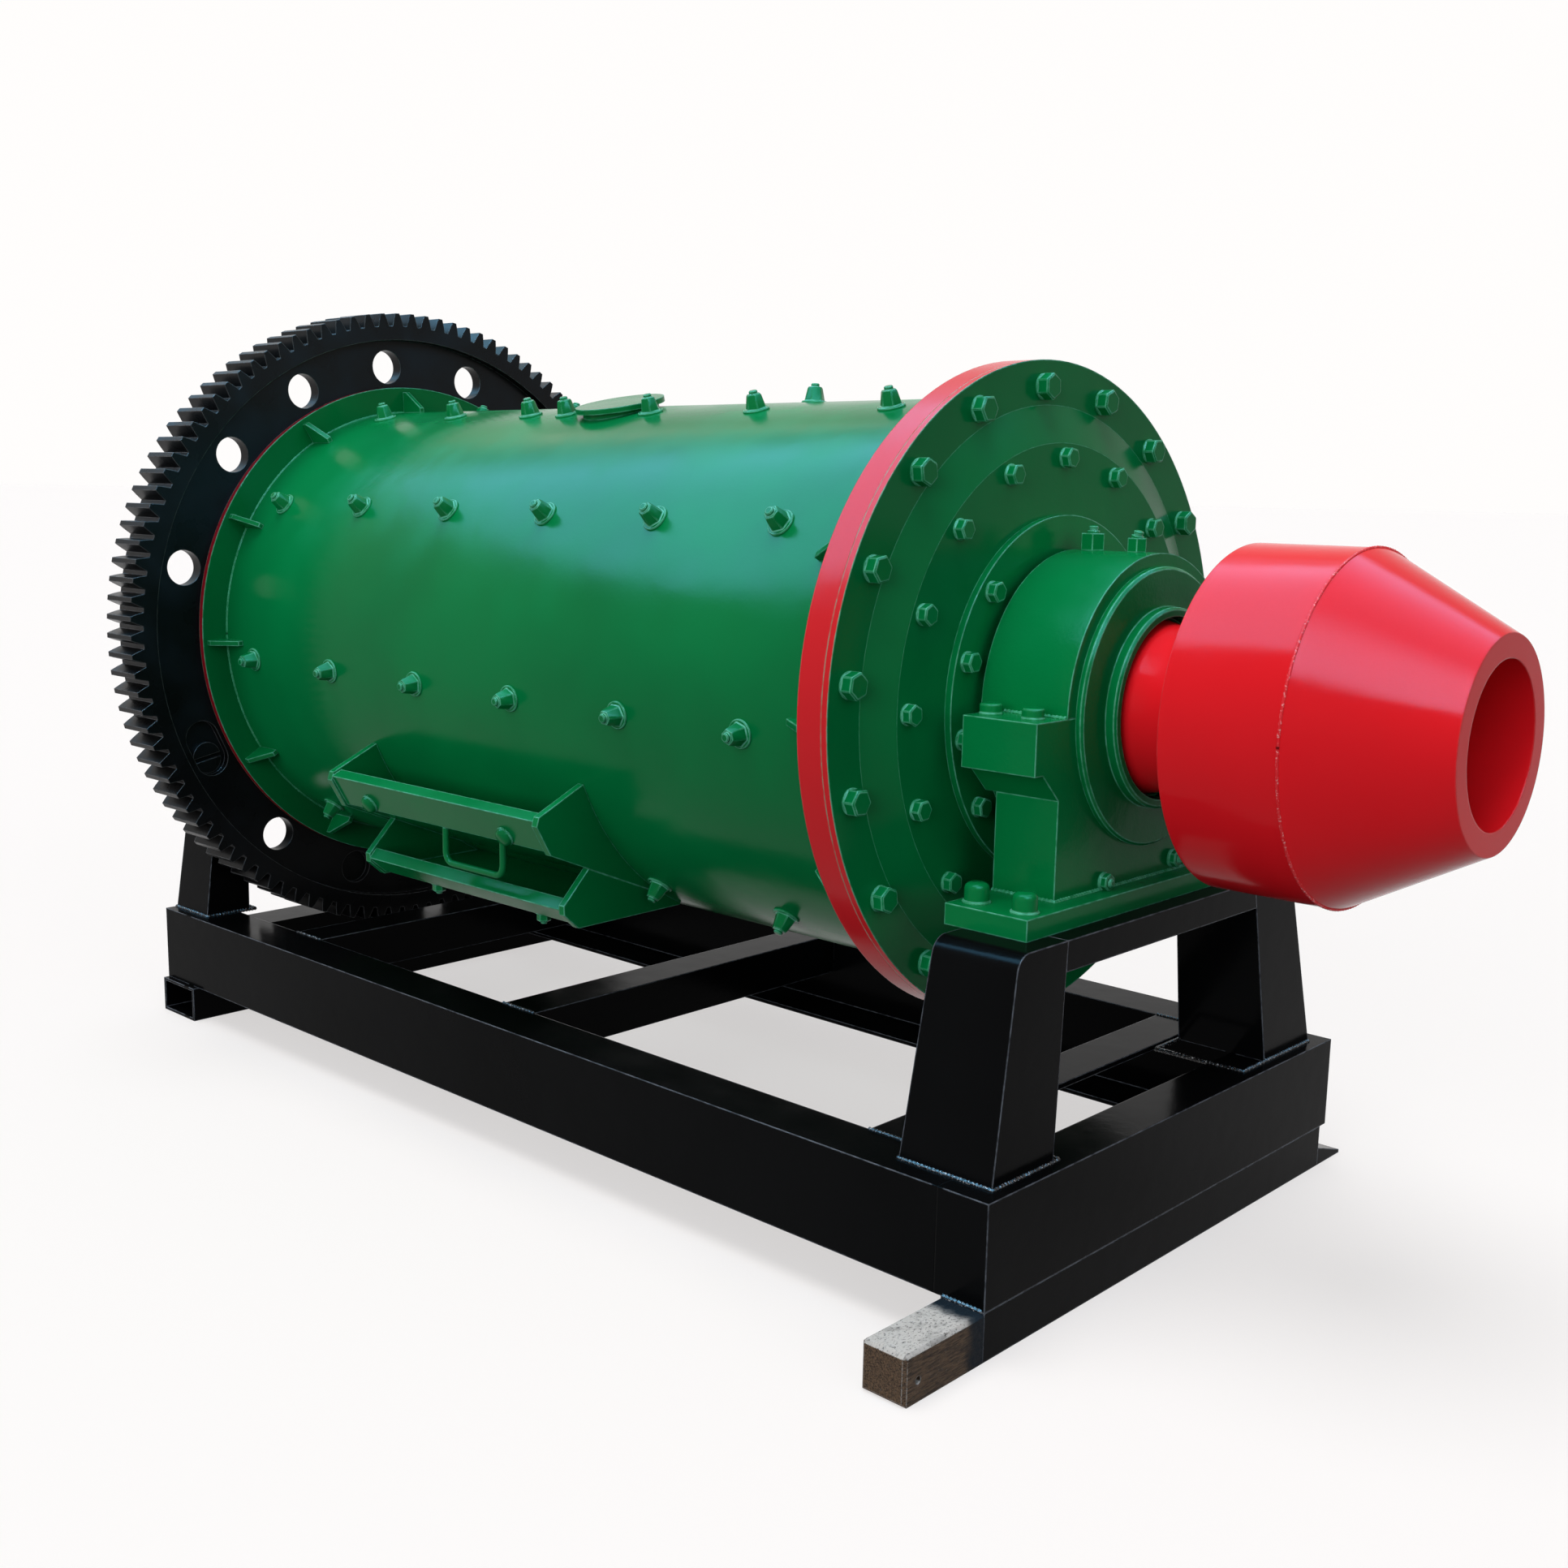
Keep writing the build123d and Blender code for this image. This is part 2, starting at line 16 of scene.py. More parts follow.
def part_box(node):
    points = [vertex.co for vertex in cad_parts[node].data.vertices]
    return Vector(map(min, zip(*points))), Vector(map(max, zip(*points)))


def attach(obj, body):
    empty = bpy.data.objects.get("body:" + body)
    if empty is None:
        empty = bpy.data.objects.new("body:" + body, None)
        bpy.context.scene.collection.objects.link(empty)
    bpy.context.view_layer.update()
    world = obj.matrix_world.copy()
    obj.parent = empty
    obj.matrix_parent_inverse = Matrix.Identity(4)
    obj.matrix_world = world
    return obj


log = logging.getLogger("mill")
RANDOM_SEED = 7


class Body(Enum):
    """The two bodies of the mill."""

    BASE = "base"
    DRUM = "drum"


class Slot(Enum):
    """Material slots of the record."""

    GREEN = "green_enamel"
    RED = "red_enamel"
    BLACK = "black_enamel"
    BLOCK = "bare_timber"


# Shader graphs

class Value:
    """A number socket of a shader graph, with arithmetic that adds Math nodes."""

    def __init__(self, graph: Graph, socket: bpy.types.NodeSocket) -> None:
        """Keep the graph and the output socket."""
        self.graph = graph
        self.socket = socket

    def math(self, operation: str, a: object, b: object = 0.0) -> Value:
        """Add one Math node.

        Args:
            operation: the node's operation.
            a: first value, a Value or a number.
            b: second value.

        Returns:
            The node's output.
        """
        return self.graph.node("ShaderNodeMath", {"operation": operation}, {0: a, 1: b})

    def __add__(self, other: object) -> Value:
        """self + other."""
        return self.math("ADD", self, other)

    def __radd__(self, other: object) -> Value:
        """other + self."""
        return self.math("ADD", other, self)

    def __sub__(self, other: object) -> Value:
        """self - other."""
        return self.math("SUBTRACT", self, other)

    def __rsub__(self, other: object) -> Value:
        """other - self."""
        return self.math("SUBTRACT", other, self)

    def __mul__(self, other: object) -> Value:
        """self * other."""
        return self.math("MULTIPLY", self, other)

    def __rmul__(self, other: object) -> Value:
        """other * self."""
        return self.math("MULTIPLY", other, self)

    def size(self) -> Value:
        """Absolute value."""
        return self.math("ABSOLUTE", self)

    def most(self, other: object) -> Value:
        """The larger of two values."""
        return self.math("MAXIMUM", self, other)

    def ramp(self, low: float, high: float, start: float = 0.0, end: float = 1.0) -> Value:
        """Smooth step from start to end while the value goes from low to high.

        Args:
            low: value where the step starts.
            high: value where it ends.
            start: result at low.
            end: result at high.

        Returns:
            The stepped value.
        """
        inputs = {0: self, 1: low, 2: high, 3: start, 4: end}
        return self.graph.node("ShaderNodeMapRange", {"interpolation_type": "SMOOTHSTEP"}, inputs)


class Graph:
    """A node tree that is built from Values."""

    def __init__(self, tree: bpy.types.NodeTree) -> None:
        """Empty the tree and keep it.

        Args:
            tree: tree of a material or a world.
        """
        self.tree = tree
        tree.nodes.clear()

    def feed(self, socket: bpy.types.NodeSocket, value: object) -> None:
        """Link a Value into a socket, or set the socket to a plain value."""
        if isinstance(value, Value):
            self.tree.links.new(value.socket, socket)
        else:
            socket.default_value = value

    def node(self, kind: str, settings: dict, inputs: dict, output: object = 0) -> Value:
        """Add a node: its settings first, then its sockets.

        Args:
            kind: the node's type.
            settings: the node's attributes by name.
            inputs: values or links by socket name or number.
            output: the output to return, by name or number.

        Returns:
            That output.
        """
        made = self.tree.nodes.new(kind)
        for key, setting in settings.items():
            setattr(made, key, setting)
        for key, value in inputs.items():
            self.feed(made.inputs[key], value)
        return Value(self, made.outputs[output])

    def blend(self, factor: object, a: object, b: object) -> Value:
        """Mix two colours.

        Args:
            factor: share of the second colour.
            a: first colour, a Value or (r, g, b).
            b: second colour.

        Returns:
            The mixed colour.
        """
        colours = [c if isinstance(c, Value) else (*c, 1.0) for c in (a, b)]
        inputs = {0: factor, 6: colours[0], 7: colours[1]}
        return self.node("ShaderNodeMix", {"data_type": "RGBA"}, inputs, 2)

    def dot(self, a: object, b: object) -> Value:
        """Dot product of two vectors."""
        return self.node("ShaderNodeVectorMath", {"operation": "DOT_PRODUCT"}, {0: a, 1: b}, "Value")

    def white_share(self) -> Value:
        """1 for rays from the camera and for mirrored or refracted ones, else 0."""
        camera, mirrored, refracted = (
            self.node("ShaderNodeLightPath", {}, {}, name)
            for name in ("Is Camera Ray", "Is Glossy Ray", "Is Transmission Ray"))
        return camera.most(mirrored).most(refracted)


class Surface(Graph):
    """One material's graph around a Principled shader."""

    # Cosines of plain and rounded normal where an edge line starts and is full
    EDGE_SPAN = (0.997, 0.965)
    BEVEL_SAMPLES = 6

    def __init__(self, name: str) -> None:
        """Make a material with its output and Principled shader.

        Args:
            name: the material's name.
        """
        self.material = bpy.data.materials.new(name)
        self.material.use_nodes = True
        super().__init__(self.material.node_tree)
        self.shader = self.tree.nodes.new("ShaderNodeBsdfPrincipled")
        output = self.tree.nodes.new("ShaderNodeOutputMaterial")
        self.tree.links.new(self.shader.outputs[0], output.inputs[0])

    def position(self) -> Value:
        """Point in the mesh's own coordinates, which are the row frame in metres."""
        return self.node("ShaderNodeTexCoord", {}, {}, "Object")

    def plain_normal(self) -> Value:
        """Normal before any rounding or bump."""
        return self.node("ShaderNodeNewGeometry", {}, {}, "Normal")

    def axis(self, vector: Value, name: str) -> Value:
        """One component of a vector, X, Y or Z."""
        return self.node("ShaderNodeSeparateXYZ", {}, {0: vector}, name)

    def noise(self, scale: float, detail: float = 2.0, stretch: tuple = (1.0, 1.0, 1.0),
              rough: float = 0.5) -> Value:
        """Noise over the object.

        Args:
            scale: features per metre.
            detail: octaves.
            stretch: scale along each axis.
            rough: share kept by each octave.

        Returns:
            Noise around 0.5.
        """
        place = self.node("ShaderNodeMapping", {}, {"Vector": self.position(), "Scale": stretch})
        inputs = {"Vector": place, "Scale": scale, "Detail": detail, "Roughness": rough}
        return self.node("ShaderNodeTexNoise", {}, inputs, "Fac")

    def rounded(self, radius: float) -> Value:
        """Normal with its edges rounded off at a radius in metres."""
        return self.node("ShaderNodeBevel", {"samples": self.BEVEL_SAMPLES}, {"Radius": radius})

    def edges(self, radius: float) -> Value:
        """Mask that is 1 close to an edge and 0 elsewhere.

        Args:
            radius: half width of the edge line in metres.

        Returns:
            The mask.
        """
        return self.dot(self.rounded(radius), self.plain_normal()).ramp(*self.EDGE_SPAN)

    def bump(self, height: Value, distance: float, normal: Value) -> Value:
        """Bump on top of a normal.

        Args:
            height: height from 0 to 1.
            distance: real height of 1 in metres.
            normal: normal underneath.

        Returns:
            The bumped normal.
        """
        inputs = {"Height": height, "Distance": distance, "Normal": normal}
        return self.node("ShaderNodeBump", {}, inputs)

    def finish(self, **sockets: object) -> bpy.types.Material:
        """Feed the Principled shader and return the material.

        Args:
            sockets: values or links by socket name, with _ for each space.

        Returns:
            The material.
        """
        for name, value in sockets.items():
            self.feed(self.shader.inputs[name.replace("_", " ")], value)
        return self.material


# Finishes

@dataclass(frozen=True)
class Enamel:
    """Enamel over steel, with a painted highlight: a lighter colour along its edges."""

    name: str
    colour: tuple
    # Colour of the painted highlight along the edges
    edge_highlight_colour: tuple
    roughness: float = 0.17
    specular: float = 0.048
    peel: float = 0.0001
    peel_scale: float = 170.0
    edge_radius: float = 0.0032
    # Strength of the painted edge highlight
    edge_share: float = 1.0
    mottle: float = 0.12
    cloud_scale: float = 2.2
    cloud_span: tuple = (0.3, 0.7)
    patch_scale: float = 60.0
    patch_span: tuple = (0.3, 0.62)
    patch_floor: float = 0.35
    sag_scale: float = 28.0
    sag_height: float = 2.5
    dull_scale: float = 9.0
    dull_span: tuple = (0.35, 0.75)
    dull_rise: float = 1.5

    def tone(self, graph: Surface) -> Value:
        """Body colour, a little uneven over the surface."""
        cloud = graph.noise(self.cloud_scale, detail=3.0)
        shade = tuple(c * (1.0 - self.mottle) for c in self.colour)
        glow = tuple(c * (1.0 + self.mottle) for c in self.colour)
        return graph.blend(cloud.ramp(*self.cloud_span), shade, glow)

    def edge_highlight(self, graph: Surface) -> Value:
        """Share of the painted edge highlight."""
        return graph.edges(self.edge_radius) * self.edge_share

    def build(self) -> bpy.types.Material:
        """Make the material.

        Returns:
            The material.
        """
        graph = Surface(self.name)
        patches = graph.noise(self.patch_scale, detail=3.0).ramp(*self.patch_span)
        # Painted highlight: the edge colour along the edges, broken up in patches
        edge = self.edge_highlight(graph) * (self.patch_floor + (1.0 - self.patch_floor) * patches)
        colour = graph.blend(edge, self.tone(graph), self.edge_highlight_colour)
        sag = graph.noise(self.sag_scale, detail=1.0)
        relief = graph.noise(self.peel_scale, detail=2.0) + self.sag_height * sag
        normal = graph.bump(relief, self.peel, graph.rounded(self.edge_radius))
        cloud = graph.noise(self.dull_scale, detail=4.0)
        dull = cloud.ramp(*self.dull_span, self.roughness, self.roughness * self.dull_rise)
        return graph.finish(Base_Color=colour, Roughness=dull, Specular_IOR_Level=self.specular,
                            Normal=normal)


@dataclass(frozen=True)
class RimPaint(Enamel):
    """Enamel whose turned edges round the axis carry a second colour."""

    rim_colour: tuple = (0.66, 0.018, 0.024)
    rim_span: tuple = (0.25, 0.2)

    def tone(self, graph: Surface) -> Value:
        """Body colour on the faces, rim colour where the surface looks away from the axis."""
        along = graph.axis(graph.plain_normal(), "X").size()
        return graph.blend(along.ramp(*self.rim_span), super().tone(graph), self.rim_colour)


@dataclass(frozen=True)
class JoinedEnamel(Enamel):
    """Enamel that runs across ground welds, with no painted edge highlight at their stations along
    X.
    """

    joints: tuple = ()
    joint_inner: float = 0.008
    joint_outer: float = 0.012

    def edge_highlight(self, graph: Surface) -> Value:
        """Painted edge highlights, faded out at the joints."""
        line = super().edge_highlight(graph)
        along = graph.axis(graph.position(), "X")
        for joint in self.joints:
            line = line * (along - joint).size().ramp(self.joint_inner, self.joint_outer)
        return line


@dataclass(frozen=True)
class BareBar:
    """Weathered bare end of the skid, stained brown at the sides and worn pale on top."""

    name: str = "bare_bar"
    pale: tuple = (0.58, 0.56, 0.53)
    brown: tuple = (0.17, 0.105, 0.062)
    dark: tuple = (0.018, 0.014, 0.011)
    stain: tuple = (0.1, 0.085, 0.07)
    paint: tuple = (0.006, 0.006, 0.007)
    roughness: tuple = (0.5, 0.8)
    specular: float = 0.06
    top_span: tuple = (0.4, 0.8)
    middle_span: tuple = (0.3, 0.7)
    chalk_span: tuple = (0.57, 0.8)
    chalk_share: float = 0.35
    worn_span: tuple = (0.33, 0.50)
    stain_scale: float = 26.0
    stain_span: tuple = (0.52, 0.68)
    stain_share: float = 0.5
    edge_radius: float = 0.0022
    edge_span: tuple = (0.35, 0.6)
    edge_share: float = 0.7
    paint_span: tuple = (-0.545, -0.515)
    paint_raggedness: float = 0.03
    paint_scale: float = 45.0
    grain_share: float = 0.6
    relief: float = 0.0009
    rounding: float = 0.003

    def side(self, graph: Surface, grain: Value, grit: Value) -> Value:
        """Colour of the sides: dark to brown along the grain, with a little chalk."""
        stained = graph.blend(grain.ramp(*self.middle_span), self.dark, self.brown)
        return graph.blend(grit.ramp(*self.chalk_span) * self.chalk_share, stained, self.pale)

    def top(self, graph: Surface, grit: Value) -> Value:
        """Colour of the top: worn pale, with a few stains."""
        worn = graph.blend(grit.ramp(*self.worn_span), self.dark, self.pale)
        stains = graph.noise(self.stain_scale, detail=4.0).ramp(*self.stain_span)
        return graph.blend(stains * self.stain_share, worn, self.stain)

    def build(self) -> bpy.types.Material:
        """Make the material.

        Returns:
            The material.
        """
        graph = Surface(self.name)
        grain = graph.noise(420.0, detail=5.0, stretch=(1.0, 0.12, 1.0), rough=0.7)
        grit = graph.noise(260.0, detail=6.0, stretch=(1.0, 0.6, 1.0), rough=0.75)
        upward = graph.axis(graph.plain_normal(), "Z").ramp(*self.top_span)
        colour = graph.blend(upward, self.side(graph, grain, grit), self.top(graph, grit))
        edge = graph.edges(self.edge_radius) * grit.ramp(*self.edge_span) * self.edge_share
        colour = graph.blend(edge, colour, self.pale)
        ragged = self.paint_raggedness * graph.noise(self.paint_scale, detail=3.0)
        painted = (graph.axis(graph.position(), "Y") + ragged).ramp(*self.paint_span)
        colour = graph.blend(painted, colour, self.paint)
        relief = grit + self.grain_share * grain
        normal = graph.bump(relief, self.relief, graph.rounded(self.rounding))
        dull = grit.ramp(*self.middle_span, *self.roughness)
        return graph.finish(Base_Color=colour, Roughness=dull, Specular_IOR_Level=self.specular,
                            Normal=normal)


@dataclass(frozen=True)
class BeadPaint(Enamel):
    """Weld bead under enamel, with rippled relief and painted glints: pale dots over its colour."""

    # Colour of the painted glints
    glint: tuple = (0.35, 0.36, 0.38)
    dot_scale: float = 330.0
    dot_span: tuple = (0.56, 0.66)

    def tone(self, graph: Surface) -> Value:
        """Paint with painted glints: pale dots scattered over it."""
        glint_dots = graph.noise(self.dot_scale, detail=3.0).ramp(*self.dot_span)
        return graph.blend(glint_dots, self.colour, self.glint)


# Light green of the painted edge highlight on the green enamels
GREEN_EDGE_HIGHLIGHT = (0.13, 0.54, 0.36)
RIM_GREEN = (0.0010, 0.160, 0.043)


@dataclass(frozen=True)
class Palette:
    """Every finish of the mill."""

    # The second colour of each enamel is the colour of its painted edge highlight
    green: Enamel = Enamel("green_enamel", (0.0010, 0.180, 0.048), GREEN_EDGE_HIGHLIGHT)
    cast: Enamel = Enamel("green_cast", (0.0010, 0.175, 0.046), GREEN_EDGE_HIGHLIGHT,
                          peel=0.0002, peel_scale=190.0)
    rim: RimPaint = RimPaint("green_red_rim", RIM_GREEN, GREEN_EDGE_HIGHLIGHT)
    flange_rim: RimPaint = RimPaint("green_flange_red_rim", RIM_GREEN, (0.72, 0.30, 0.28),
                                    edge_share=0.35)
    rear_rim: RimPaint = RimPaint("green_dark_red_rim", RIM_GREEN, GREEN_EDGE_HIGHLIGHT,
                                  rim_colour=(0.34, 0.012, 0.022))
    red: Enamel = Enamel("red_enamel", (0.79, 0.011, 0.018), (0.90, 0.22, 0.22),
                         roughness=0.12, edge_share=0.2, mottle=0.05)
    black: JoinedEnamel = JoinedEnamel("black_enamel", (0.0024, 0.0026, 0.0029), (0.24, 0.27, 0.32),
                                       roughness=0.15, specular=0.024, edge_share=0.65, mottle=0.3)
    gear: Enamel = Enamel("black_gear", (0.0040, 0.0041, 0.0044), (0.15, 0.155, 0.165),
                          roughness=0.26, specular=0.09, edge_share=0.75, mottle=0.3,
                          edge_radius=0.0024)
    # The bead finishes carry painted glints as pale dots
    bead: BeadPaint = BeadPaint("black_bead", (0.003, 0.003, 0.003), (0.012, 0.012, 0.013),
                                peel=0.0012, peel_scale=300.0, specular=0.3, glint=(0.5, 0.5, 0.52))
    green_bead: BeadPaint = BeadPaint("green_bead", (0.0012, 0.17, 0.048), (0.1, 0.48, 0.28),
                                      peel=0.0008, peel_scale=300.0, glint=(0.05, 0.42, 0.24))
    red_bead: BeadPaint = BeadPaint("red_bead", (0.78, 0.010, 0.018), (0.84, 0.05, 0.06),
                                    peel=0.0008, peel_scale=300.0, glint=(0.95, 0.55, 0.55))
    bar: BareBar = BareBar()

    def build(self) -> dict[str, bpy.types.Material]:
        """Make every material.

        Returns:
            Materials by the name of their field.
        """
        finishes = {name: getattr(self, name) for name in self.__dataclass_fields__}
        ends = (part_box("front_beam")[0].x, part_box("rear_beam")[1].x)
        finishes["black"] = replace(self.black, joints=ends)
        return {name: finish.build() for name, finish in finishes.items()}


# Mesh making

Ring = tuple[float, float]
SUNK = 0.001
WASHER_BEVEL = 0.001


class Sculptor:
    """Collects turned, hexagonal and swept shapes into one mesh."""

    BEAD_SIDES = 7
    RINGS_PER_RIPPLE = 3
    RIPPLE = 0.16
    RIPPLE_SCATTER = 0.1
    CORNER_FLAT = 3.0
    MERGE_DISTANCE = 1e-6
    SHARP_ANGLE = 28.0

    def __init__(self, name: str) -> None:
        """Start an empty mesh.

        Args:
            name: name of the piece.
        """
        self.name = name
        self.mesh = bmesh.new()

    def lathe(self, profile: list[Ring], place: Matrix, sides: int = 28) -> None:
        """Turn a profile about the local Z axis.

        Args:
            profile: (radius, height) from the lowest ring to the top, which closes on the axis.
            place: where the shape stands.
            sides: sections round the axis.
        """
        angles = [2 * pi * i / sides for i in range(sides)]
        self.loft([[(r * cos(a), r * sin(a), z) for a in angles] for r, z in profile], place)

    def hexagon(self, profile: list[Ring], place: Matrix) -> None:
        """Hexagonal shape with small flats on its six corners.

        Args:
            profile: (corner radius, height) from the lowest ring to the top.
            place: where the shape stands.
        """
        flat = self.CORNER_FLAT
        share = cos(radians(30)) / cos(radians(30 - flat))
        angles = [radians(60 * i + side) for i in range(6) for side in (-flat, flat)]
        rings = [[(r * share * cos(a), r * share * sin(a), z) for a in angles] for r, z in profile]
        self.loft(rings, place)

    def loft(self, rings: list[list[tuple]], place: Matrix) -> None:
        """Skin a stack of equal rings and cap both ends."""
        rows = [[self.mesh.verts.new(place @ Vector(p)) for p in ring] for ring in rings]
        count = len(rows[0])
        for low, high in zip(rows, rows[1:]):
            for i in range(count):
                j = (i + 1) % count
                self.mesh.faces.new((low[i], low[j], high[j], high[i]))
        self.mesh.faces.new(list(reversed(rows[0])))
        self.mesh.faces.new(rows[-1])

    def bead(self, path: list[Vector], radius: float, closed: bool, pitch: float = 0.007) -> None:
        """Rippled weld bead along a path.

        Args:
            path: corner points in metres.
            radius: radius of the bead.
            closed: True when the path returns to its start.
            pitch: length of one ripple.
        """
        corners = path + path[:1] if closed else path
        points: list[Vector] = []
        for a, b in zip(corners, corners[1:]):
            steps = max(1, round((b - a).length / (pitch / self.RINGS_PER_RIPPLE)))
            points += [a.lerp(b, i / steps) for i in range(steps)]
        if not closed:
            points.append(corners[-1])
        last = len(points) - 1
        turns = [2 * pi * k / self.BEAD_SIDES for k in range(self.BEAD_SIDES)]
        rings = []
        for i, point in enumerate(points):
            ahead = points[(i + 1) % len(points)] if closed else points[min(i + 1, last)]
            behind = points[i - 1] if closed or i else points[0]
            along = (ahead - behind).normalized()
            side = (side - along * side.dot(along) if rings else along.orthogonal()).normalized()
            up = along.cross(side)
            ripple = self.RIPPLE * cos(2 * pi * i / self.RINGS_PER_RIPPLE)
            swell = radius * (1 + ripple + self.RIPPLE_SCATTER * (random.random() - 0.5))
            rings.append([point + swell * (cos(a) * side + sin(a) * up) for a in turns])
        if closed:
            rings.append(rings[0])
        self.loft(rings, Matrix())

    def piece(self, body: Body, material: bpy.types.Material) -> None:
        """Close the mesh, dress it and let it ride.

        Args:
            body: body that carries the piece.
            material: its material.
        """
        bmesh.ops.remove_doubles(self.mesh, verts=self.mesh.verts, dist=self.MERGE_DISTANCE)
        bmesh.ops.recalc_face_normals(self.mesh, faces=self.mesh.faces)
        data = bpy.data.meshes.new(self.name)
        self.mesh.to_mesh(data)
        self.mesh.free()
        data.materials.append(material)
        obj = bpy.data.objects.new(self.name, data)
        bpy.context.scene.collection.objects.link(obj)
        data.shade_smooth()
        data.set_sharp_from_angle(angle=radians(self.SHARP_ANGLE))
        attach(obj, body.value)
        triangles = sum(len(p.vertices) - 2 for p in data.polygons)
        log.info("%s: %d triangles on %s", self.name, triangles, body.value)


def standing(point: Vector, direction: Vector, spin: float = 0.0) -> Matrix:
    """Place whose local Z points along a direction.

    Args:
        point: where the place is.
        direction: way of its Z axis.
        spin: turn about that axis in degrees.

    Returns:
        The matrix.
    """
    turn = direction.to_track_quat("Z", "Y").to_matrix().to_4x4()
    return Matrix.Translation(point) @ turn @ Matrix.Rotation(radians(spin), 4, "Z")


def free_turn() -> float:
    """Random turn of a hexagon in degrees; after 60 it looks the same."""
    return random.uniform(0, 60)


def round_foot(radius: float, height: float) -> list[Ring]:
    """Profile of a washer or flange, bevelled above and sunk a little in its seat."""
    return [(radius, -SUNK), (radius, height * 0.7), (radius - WASHER_BEVEL, height)]


@dataclass(frozen=True)
class Bolt:
    """Hexagon head or nut on a round washer, with the end of its stud."""

    corner: float
    head: float
    washer: float
    washer_height: float = 0.003
    taper: float = 1.0
    stud: float = 0.0
    stud_height: float = 0.0
    chamfer_height: float = 0.12
    chamfer_share: float = 0.86
    stud_sunk: float = 0.002
    stud_bevel: float = 0.0015

    def add(self, to: Sculptor, place: Matrix) -> None:
        """Add the bolt to a mesh.

        Args:
            to: mesh that collects it.
            place: foot of the washer, with Z away from the seat.
        """
        to.lathe(round_foot(self.washer, self.washer_height), place, sides=24)
        top = self.washer_height + self.head
        crown = self.corner * self.taper
        to.hexagon([(self.corner, self.washer_height * 0.5),
                    (crown, top - self.chamfer_height * self.head),
                    (crown * self.chamfer_share, top)], place)
        if self.stud_height:
            end, bevel = top + self.stud_height, self.stud_bevel
            to.lathe([(self.stud, top - self.stud_sunk), (self.stud, end - bevel),
                      (self.stud - bevel, end)], place, sides=16)


@dataclass(frozen=True)
class RoundHead:
    """Round bolt head or cap nut: a cylinder with a rounded top on a thin flange."""

    radius: float
    height: float
    dome: float
    flange: float
    flange_height: float = 0.003
    dome_angles: tuple = (0, 25, 50, 75)

    def add(self, to: Sculptor, place: Matrix) -> None:
        """Add the head to a mesh.

        Args:
            to: mesh that collects it.
            place: its foot, with Z away from the seat.
        """
        profile = round_foot(self.flange, self.flange_height) + [(self.radius, self.flange_height)]
        crown = self.height - self.dome
        for angle in self.dome_angles:
            a = radians(angle)
            profile.append((self.radius - self.dome * (1 - cos(a)), crown + self.dome * sin(a)))
        to.lathe(profile, place)


# The mill's own measures

@dataclass(frozen=True)
class Mill:
    """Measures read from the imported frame, in metres."""

    axis: float
    barrel: float
    front_flange: float
    rear_flange: float
    front_face: float
    rear_face: float
    rear_web: float

    @classmethod
    def read(cls) -> Mill:
        """Measure the frame.

        Returns:
            The measures.
        """
        low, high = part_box("barrel_shell")
        return cls(
            axis=(low.z + high.z) / 2, barrel=(high.z - low.z) / 2,
            front_flange=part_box("front_shell_flange")[1].x,
            rear_flange=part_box("rear_shell_flange")[1].x,
            front_face=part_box("front_head")[1].x, rear_face=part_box("rear_head")[0].x,
            rear_web=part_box("ring_gear_web")[0].x)

    def round_axis(self, x: float, radius: float, angle: float) -> Vector:
        """Point at a station, radius and angle; the angle rises from the near side.

        Args:
            x: station along the barrel.
            radius: distance from the axis.
            angle: degrees upwards from the near side.

        Returns:
            The point.
        """
        a = radians(angle)
        return Vector((x, -radius * cos(a), self.axis + radius * sin(a)))

    def outward(self, angle: float) -> Vector:
        """Direction away from the axis at an angle."""
        a = radians(angle)
        return Vector((0, -cos(a), sin(a)))


# Sub-assemblies

@dataclass(frozen=True)
class BoltCircle:
    """Equal bolts round the axis: how many, where the first stands, and where none stands."""

    bolt: Bolt
    radius: float
    count: int
    phase: float = 0.0
    gap: tuple = (0.0, 0.0)

    def angles(self) -> list[float]:
        """Angles of the bolts in degrees."""
        every = (self.phase + i * 360 / self.count for i in range(self.count))
        return [angle for angle in every if not self.gap[0] < angle < self.gap[1]]


@dataclass
class HeadBolts:
    """Rings of bolts on both end covers and hubs."""

    mill: Mill
    rim: BoltCircle = BoltCircle(Bolt(0.0212, 0.019, 0.0205), 0.484, 18, phase=5.7)
    cover: BoltCircle = BoltCircle(Bolt(0.0168, 0.015, 0.0165), 0.375, 16)
    hub: BoltCircle = BoltCircle(Bolt(0.0165, 0.015, 0.0165), 0.262, 14, phase=15.5,
                                 gap=(50.0, 130.0))
    cover_thickness: float = 0.012
    hub_thickness: float = 0.012

    def ring(self, name: str, circle: BoltCircle, x: float, way: int,
             material: bpy.types.Material) -> None:
        """One ring of equal bolts.

        Args:
            name: name of the piece.
            circle: the bolts and their circle.
            x: station of the seat.
            way: side along X that the bolts look to.
            material: their finish.
        """
        sculptor = Sculptor(name)
        for angle in circle.angles():
            point = self.mill.round_axis(x, circle.radius, angle)
            circle.bolt.add(sculptor, standing(point, Vector((way, 0, 0)), free_turn()))
        sculptor.piece(Body.DRUM, material)

    def build(self, materials: dict) -> None:
        """Bolt both ends of the drum.

        Args:
            materials: finishes by name.
        """
        mill, green = self.mill, materials["green"]
        ends = (("front", 1, mill.front_flange, mill.front_face),
                ("rear", -1, mill.rear_web, mill.rear_face))
        for end, way, seat, face in ends:
            rim_seat = seat + way * self.cover_thickness
            hub_seat = face + way * self.hub_thickness
            self.ring(f"{end}_rim_bolts", self.rim, rim_seat, way, green)
            self.ring(f"{end}_cover_bolts", self.cover, face, way, green)
            self.ring(f"{end}_hub_bolts", self.hub, hub_seat, way, green)


